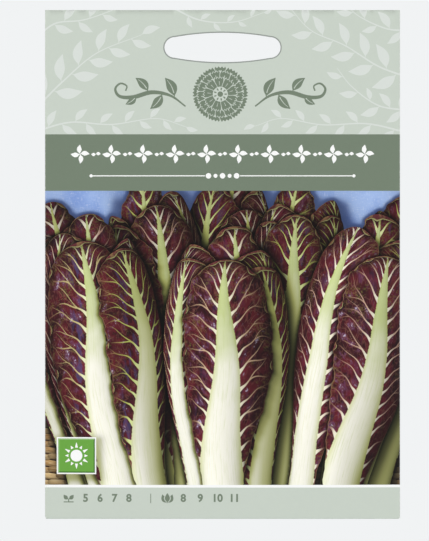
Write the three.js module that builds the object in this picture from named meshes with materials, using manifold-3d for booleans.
// A seed packet: one sheet of paper folded and glued into a flat envelope, with a domed hanging
// slot punched through its glued header, closed round a foil sachet that holds chicory seeds.
//
// Millimetres. +Z is up, +X is to the right of someone facing the front, and the front faces -Y.
// The origin is the middle of the slot's top edge, where a display hook carries the packet.
import * as THREE from "three";
import { mergeVertices } from "three/addons/utils/BufferGeometryUtils.js";
import Module from "manifold-3d";

const wasm = await Module();
wasm.setup();

// ---------------------------------------------------------------- driving dimensions
const PACKET_WIDTH = 96;
const PACKET_HEIGHT = 137.6;
const PAPER = 0.15; // thickness of the printed paper
const GLUE = 0.05; // gap left between two glued layers
const TOP_TO_SLOT = 6.14; // top edge down to the slot's highest point
const SLOT_WIDTH = 31.4;
const SLOT_HEIGHT = 7.95; // at the middle, where both long edges are domed
const SLOT_END_RADIUS = 2.8;
const HEADER_SEAL = 20; // height of the header in which front and back are glued
const SEAM_FLAP = 10; // width of the side flap, tucked behind the back panel
const BACK_SHORT = 0.8; // how far the back panel stops short of the left fold
const BOTTOM_FLAP = 14;
const FLAP_INSET = 0.12; // notch at each end of the bottom flap's fold
const FLAP_TAPER = 5; // how much narrower each end of the bottom flap gets
const FRONT_BULGE = 2.1; // how far the contents push the front panel out
const BACK_BULGE = 1.9;
const SIDE_POWER = 3.2; // the higher, the more squarely the bulge ends at the side folds
const BOTTOM_RISE = 26; // height over which the panels rise from the bottom fold
const SEAL_RISE = 62; // and the height over which they rise from the header's seal
const SEAL_SHARE = 0.35; // share of the bulge that comes quickly below the seal
const SEAM_STEP = 2; // width over which the back panel steps down off the seam flap

const SACHET_WIDTH = 70;
const SACHET_HEIGHT = 90;
const FOIL = 0.1;
const SACHET_SEAL = 6; // width of the flat sealed edges
const SACHET_RISE = 10; // the sachet's folded edge above the packet's bottom edge
const SACHET_BULGE = 1.25; // half its thickness over the seeds
const SACHET_SLACK = 0.35; // half its thickness above the seeds
const SACHET_SWELL = 12; // distance over which the film swells from its side seals and its fold
const SACHET_TOP_SWELL = 14; // and from its top seal
const SACHET_DRAIN = 40; // height over which it goes slack above the seeds

const SEED_LENGTH = 2.7;
const SEED_WIDTH = 1.25; // at the blunt end
const SEED_TIP = 0.62; // at the pointed end
const SEED_PITCH = 3.3; // spacing of the seeds over the heap
const SEED_SINK = 0.34; // a seed's middle from the heap's middle plane
const SEED_JITTER = 0.7; // how far a seed strays from its place in the pattern
const SEED_CLEAR = 0.25; // kept between the seeds and the foil
const HEAP_WIDTH = 42;
const HEAP_HEIGHT = 18;
const HEAP_RISE = 5; // bottom of the heap above the sachet's fold
const HEAP_CORE = 0.7; // thickness of the heap between its outer seeds
const HEAP_FOOT = 3; // how far in from the heap's ends its slopes are steepest
const HEAP_RIGHT = 1.1; // how full its right slope is, as a share of its height
const HEAP_LEFT = 0.8;
const ROW_SHIFT = 0.5; // shift of every other row of seeds, in pitches
const FACE_SHIFT = 0.25; // shift of the seeds on each face, in pitches

// ---------------------------------------------------------------- derived sizes
const LAYER = PAPER + GLUE; // from one glued layer's middle to the next one's
const TOP = TOP_TO_SLOT;
const BOTTOM = TOP - PACKET_HEIGHT;
const FOLD = LAYER / 2; // radius of the two side folds, at the paper's middle
const FOLD_X = PACKET_WIDTH / 2 - PAPER / 2 - FOLD; // where the flat panels end
const BOTTOM_FOLD = 1.5 * LAYER; // radius of the bottom fold, round four layers of paper
const FOLD_Z = BOTTOM + PAPER / 2 + BOTTOM_FOLD; // where the bottom fold starts
const POCKET_TOP = TOP - HEADER_SEAL;

const smooth = (t) => {
  const c = Math.min(1, Math.max(0, t));
  return c * c * (3 - 2 * c);
};

// How full the pocket is at a point of the panel, from 0 at its folds and seal to 1 over the seeds.
function fullness(x, z) {
  const across = Math.max(0, 1 - Math.abs(x / FOLD_X) ** SIDE_POWER);
  const fromBottom = smooth((z - FOLD_Z) / BOTTOM_RISE);
  const fromSeal = smooth((POCKET_TOP - z) / SEAL_RISE);
  const down = SEAL_SHARE * Math.sqrt(fromSeal) + (1 - SEAL_SHARE) * fromSeal;
  return across * Math.sqrt(fromBottom) * down;
}

// Where the back panel laps the seam flap it is one layer further out.
const overSeam = (x) => 1 - smooth((x + FOLD_X - SEAM_FLAP) / SEAM_STEP);

const frontY = (x, z) => -LAYER / 2 - FRONT_BULGE * fullness(x, z);
const backY = (x, z) => LAYER / 2 + LAYER * overSeam(x) + BACK_BULGE * fullness(x, z);
const seamY = (x, z) => LAYER / 2 + BACK_BULGE * fullness(x, z);
const flapY = (x, z) => backY(x, z) + LAYER;

// ---------------------------------------------------------------- thin sheets
// A sheet is a grid of points on its middle surface. isMaterial says which of its squares are
// there, and solidSheet gives the closed mesh of the given thickness round them.
function solidSheet(point, columns, rows, thickness, isMaterial = () => true) {
  const at = (i, j) => j * columns + i;
  const middle = [];
  for (let j = 0; j < rows; j++)
    for (let i = 0; i < columns; i++)
      middle.push(point(i, j));
  const cells = [];
  for (let j = 0; j + 1 < rows; j++)
    for (let i = 0; i + 1 < columns; i++)
      if (isMaterial(i, j)) cells.push([at(i, j), at(i + 1, j), at(i + 1, j + 1), at(i, j + 1)]);

  const triangles = cells.flatMap(([a, b, c, d]) => [
    [a, b, c],
    [a, c, d],
  ]);
  const normals = middle.map(() => new THREE.Vector3());
  for (const [a, b, c] of triangles) {
    const across = middle[b].clone().sub(middle[a]);
    const normal = across.cross(middle[c].clone().sub(middle[a]));
    for (const v of [a, b, c]) normals[v].add(normal);
  }
  const outer = middle.map((p, v) => p.clone().addScaledVector(normals[v].normalize(), thickness / 2));
  const inner = middle.map((p, v) => p.clone().addScaledVector(normals[v], -thickness / 2));

  const open = new Set();
  const key = (a, b) => a + "_" + b;
  for (const [a, b, c, d] of cells)
    for (const [from, to] of [[a, b], [b, c], [c, d], [d, a]])
      if (!open.delete(key(to, from))) open.add(key(from, to));

  const n = middle.length;
  const faces = triangles.flatMap(([a, b, c]) => [a, b, c, a + n, c + n, b + n]);
  for (const edge of open) {
    const [a, b] = edge.split("_").map(Number);
    faces.push(a, a + n, b + n, a, b + n, b);
  }
  const geometry = new THREE.BufferGeometry();
  const flat = [...outer, ...inner].flatMap((p) => p.toArray());
  geometry.setAttribute("position", new THREE.Float32BufferAttribute(flat, 3));
  return geometry.setIndex(faces);
}

const steps = (from, to, count) =>
  Array.from({ length: count + 1 }, (_, k) => from + ((to - from) * k) / count);

// A fold's points as [turn] from 0 to pi, without its two ends, which belong to the panels.
const FOLD_STEPS = 4;
const foldTurns = steps(0, Math.PI, FOLD_STEPS).slice(1, -1);

// ---------------------------------------------------------------- manifold-3d helpers
const MERGE_DISTANCE = 1e-4;

function toSolid(geometry) {
  const bare = geometry.clone();
  for (const name of ["normal", "uv"]) bare.deleteAttribute(name);
  const merged = mergeVertices(bare, MERGE_DISTANCE);
  return new wasm.Manifold(
    new wasm.Mesh({
      numProp: 3,
      vertProperties: merged.attributes.position.array,
      triVerts: new Uint32Array(merged.index.array),
    }),
  );
}

function toGeometry(solid) {
  const mesh = solid.getMesh();
  const geometry = new THREE.BufferGeometry();
  geometry.setAttribute("position", new THREE.BufferAttribute(mesh.vertProperties, 3));
  return geometry.setIndex(new THREE.BufferAttribute(mesh.triVerts, 1));
}

// ---------------------------------------------------------------- the paper packet
// One sheet from the seam flap round the left fold, the front, the right fold and the back. Its
// rows run down the panels and, below the front only, round the bottom fold and up the flap. The
// side folds end level with the bottom fold, which keeps the lower corners square.
function paperSheet() {
  const PANEL_COLUMNS = 18;
  const PANEL_ROWS = 26;
  const SEAM_COLUMNS = 2;
  const FLAP_ROWS = 3;
  const ROUNDING = 1e-6;

  const inset = FOLD_X - FLAP_INSET;
  const frontX = [-FOLD_X, ...steps(-inset, inset, PANEL_COLUMNS), FOLD_X];
  const backEnd = -(PACKET_WIDTH / 2 - BACK_SHORT);
  const columns = [
    ...steps(-FOLD_X + SEAM_FLAP, -FOLD_X, SEAM_COLUMNS).map((x) => ({ x, y: seamY })),
    ...foldTurns.map((turn) => ({ side: -1, turn: Math.PI - turn })),
    ...frontX.map((x) => ({ x, y: frontY, front: true })),
    ...foldTurns.map((turn) => ({ side: 1, turn })),
    ...[...frontX].reverse().slice(0, -1).map((x) => ({ x, y: backY })),
    { x: backEnd, y: backY },
  ];
  const panelZ = steps(TOP, FOLD_Z, PANEL_ROWS);
  const rows = [
    ...panelZ.map((z) => ({ z })),
    ...foldTurns.map((turn) => ({ turn })),
    ...steps(FOLD_Z, FOLD_Z + BOTTOM_FLAP, FLAP_ROWS).map((z) => ({ z, flap: true })),
  ];

  const point = (i, j) => {
    const column = columns[i];
    const row = rows[j];
    if (column.side) {
      const x = column.side * (FOLD_X + FOLD * Math.sin(column.turn));
      const z = j < PANEL_ROWS ? row.z : FOLD_Z - BOTTOM_FOLD;
      return new THREE.Vector3(x, -FOLD * Math.cos(column.turn), z);
    }
    if (row.turn) {
      const front = frontY(column.x, FOLD_Z);
      const reach = (flapY(column.x, FOLD_Z) - front) / 2;
      const y = front + reach * (1 - Math.cos(row.turn));
      return new THREE.Vector3(column.x, y, FOLD_Z - BOTTOM_FOLD * Math.sin(row.turn));
    }
    if (!row.flap) return new THREE.Vector3(column.x, column.y(column.x, row.z), row.z);
    const x = column.x * (1 - (FLAP_TAPER / inset) * ((row.z - FOLD_Z) / BOTTOM_FLAP));
    return new THREE.Vector3(x, flapY(x, row.z), row.z);
  };
  const inFlap = (i) =>
    [columns[i], columns[i + 1]].every((c) => c.front && Math.abs(c.x) <= inset + ROUNDING);
  const isMaterial = (i, j) => j < PANEL_ROWS || inFlap(i);
  return solidSheet(point, columns.length, rows.length, PAPER, isMaterial);
}

// The slot's outline in the XZ plane: half-round ends joined by two long, shallow domes.
function slotOutline() {
  const endX = SLOT_WIDTH / 2 - SLOT_END_RADIUS;
  const rise = SLOT_HEIGHT / 2 - SLOT_END_RADIUS;
  const domeRadius = (endX ** 2 + rise ** 2) / (2 * rise);
  const domeTurn = Math.asin(endX / domeRadius);
  const middleZ = -SLOT_HEIGHT / 2;
  const shape = new THREE.Shape();
  shape.absarc(endX, middleZ, SLOT_END_RADIUS, -Math.PI / 2, Math.PI / 2, false);
  shape.absarc(0, -domeRadius, domeRadius, Math.PI / 2 - domeTurn, Math.PI / 2 + domeTurn, false);
  shape.absarc(-endX, middleZ, SLOT_END_RADIUS, Math.PI / 2, (3 * Math.PI) / 2, false);
  const lower = -SLOT_HEIGHT + domeRadius;
  shape.absarc(0, lower, domeRadius, -Math.PI / 2 - domeTurn, -Math.PI / 2 + domeTurn, false);
  return shape;
}

function paperPacket() {
  const PUNCH_DEPTH = 4;
  const punch = new THREE.ExtrudeGeometry(slotOutline(), {
    depth: PUNCH_DEPTH,
    bevelEnabled: false,
    curveSegments: 10,
  });
  punch.rotateX(Math.PI / 2); // the outline's second axis becomes Z and the depth runs to -Y
  punch.translate(0, PUNCH_DEPTH / 2, 0);
  return toGeometry(toSolid(paperSheet()).subtract(toSolid(punch)));
}

// ---------------------------------------------------------------- the foil sachet
// One film folded along its lower edge, with the other three edges sealed together.
const SACHET_LAYER = FOIL + GLUE;
const SACHET_BOTTOM = BOTTOM + SACHET_RISE;
const SACHET_FOLD_Z = SACHET_BOTTOM + FOIL / 2 + SACHET_LAYER / 2;
const SACHET_TOP = SACHET_BOTTOM + SACHET_HEIGHT;
const SEEDS_TOP = SACHET_BOTTOM + HEAP_RISE + HEAP_HEIGHT;

function sachetHalf(x, z) {
  const room = (distance, reach) => Math.sqrt(smooth(distance / reach));
  const sides = room(SACHET_WIDTH / 2 - SACHET_SEAL - Math.abs(x), SACHET_SWELL);
  const below = room(z - SACHET_FOLD_Z, SACHET_SWELL);
  const above = room(SACHET_TOP - SACHET_SEAL - z, SACHET_TOP_SWELL);
  const seeds = 1 - smooth((z - SEEDS_TOP) / SACHET_DRAIN);
  const bulge = SACHET_SLACK + (SACHET_BULGE - SACHET_SLACK) * seeds;
  return SACHET_LAYER / 2 + bulge * sides * below * above;
}

function foilSachet() {
  const POCKET_COLUMNS = 12;
  const POCKET_ROWS = 14;

  const half = SACHET_WIDTH / 2;
  const seal = half - SACHET_SEAL;
  const across = [-half, ...steps(-seal, seal, POCKET_COLUMNS), half];
  const upright = [
    SACHET_TOP,
    ...steps(SACHET_TOP - SACHET_SEAL, SACHET_FOLD_Z, POCKET_ROWS),
  ];
  const rows = [
    ...upright.map((z) => ({ z, side: -1 })),
    ...foldTurns.map((turn) => ({ turn })),
    ...[...upright].reverse().map((z) => ({ z, side: 1 })),
  ];
  const point = (i, j) => {
    const x = across[i];
    const { z, side, turn } = rows[j];
    const radius = SACHET_LAYER / 2;
    return turn
      ? new THREE.Vector3(x, -radius * Math.cos(turn), SACHET_FOLD_Z - radius * Math.sin(turn))
      : new THREE.Vector3(x, side * sachetHalf(x, z), z);
  };
  return solidSheet(point, across.length, rows.length, FOIL);
}

// ---------------------------------------------------------------- the chicory seeds
// A repeatable stream of numbers from 0 to 1.
const MULTIPLIER = 1664525;
const INCREMENT = 1013904223;

function randomStream(seed) {
  let state = seed;
  return () => {
    state = (Math.imul(state, MULTIPLIER) + INCREMENT) >>> 0;
    return state / 2 ** 32;
  };
}

// A shallow mound of seeds: small wedges lying flat at their own angles on both faces of a thinner
// core, which they are half sunk in.
function seedHeap() {
  const random = randomStream(7);
  const bottomZ = SACHET_FOLD_Z + HEAP_RISE;
  const mound = new THREE.Shape();
  const end = HEAP_WIDTH / 2;
  const foot = end - HEAP_FOOT;
  mound.moveTo(-end, bottomZ);
  mound.lineTo(end, bottomZ);
  mound.quadraticCurveTo(foot, bottomZ + HEAP_RIGHT * HEAP_HEIGHT, 0, bottomZ + HEAP_HEIGHT);
  mound.quadraticCurveTo(-foot, bottomZ + HEAP_LEFT * HEAP_HEIGHT, -end, bottomZ);
  const core = new THREE.ExtrudeGeometry(mound, {
    depth: HEAP_CORE,
    bevelEnabled: false,
    curveSegments: 6,
  });
  core.rotateX(Math.PI / 2);
  core.translate(0, HEAP_CORE / 2, 0);
  const solids = [toSolid(core)];

  const upY = new THREE.Vector3(0, 1, 0);
  const columns = Math.floor(HEAP_WIDTH / SEED_PITCH);
  const rows = Math.floor(HEAP_HEIGHT / SEED_PITCH);
  for (const face of [-1, 1])
    for (let j = 0; j <= rows; j++)
      for (let i = 0; i <= columns; i++) {
        const x = (i + ROW_SHIFT * (j % 2) + FACE_SHIFT * face - columns / 2) * SEED_PITCH;
        const moundTop = HEAP_HEIGHT * (1 - (2 * x / HEAP_WIDTH) ** 2);
        if (j * SEED_PITCH > moundTop) continue;
        const z = bottomZ + j * SEED_PITCH;
        const room = sachetHalf(x, z) - FOIL / 2 - SEED_CLEAR - SEED_WIDTH / 2;
        if (room < 0) continue;
        const seed = new THREE.CylinderGeometry(SEED_WIDTH / 2, SEED_TIP / 2, SEED_LENGTH, 4);
        seed.rotateY(random() * Math.PI);
        seed.rotateX(Math.PI / 2); // its length now lies along Z, in the sachet's plane
        seed.applyMatrix4(new THREE.Matrix4().makeRotationAxis(upY, random() * 2 * Math.PI));
        const jitterX = (random() - 0.5) * SEED_JITTER;
        const jitterZ = (random() - 0.5) * SEED_JITTER;
        seed.translate(x + jitterX, face * Math.min(SEED_SINK, room), z + jitterZ);
        solids.push(toSolid(seed));
      }
  const heap = wasm.Manifold.union(solids);
  const [largest] = heap.decompose().sort((p, q) => q.volume() - p.volume());
  return toGeometry(largest);
}

// ---------------------------------------------------------------- the packet
const packet = new THREE.Group();
function addPiece(name, geometry, color, roughness, metalness) {
  const material = new THREE.MeshStandardMaterial({ color, roughness, metalness });
  const mesh = new THREE.Mesh(geometry, material);
  mesh.name = name;
  packet.add(mesh);
}

addPiece("paper_packet", paperPacket(), 0xcad2c7, 0.5, 0);
addPiece("foil_sachet", foilSachet(), 0xc9ccd0, 0.3, 0.9);
addPiece("chicory_seeds", seedHeap(), 0xb9a582, 0.8, 0);

export default packet;
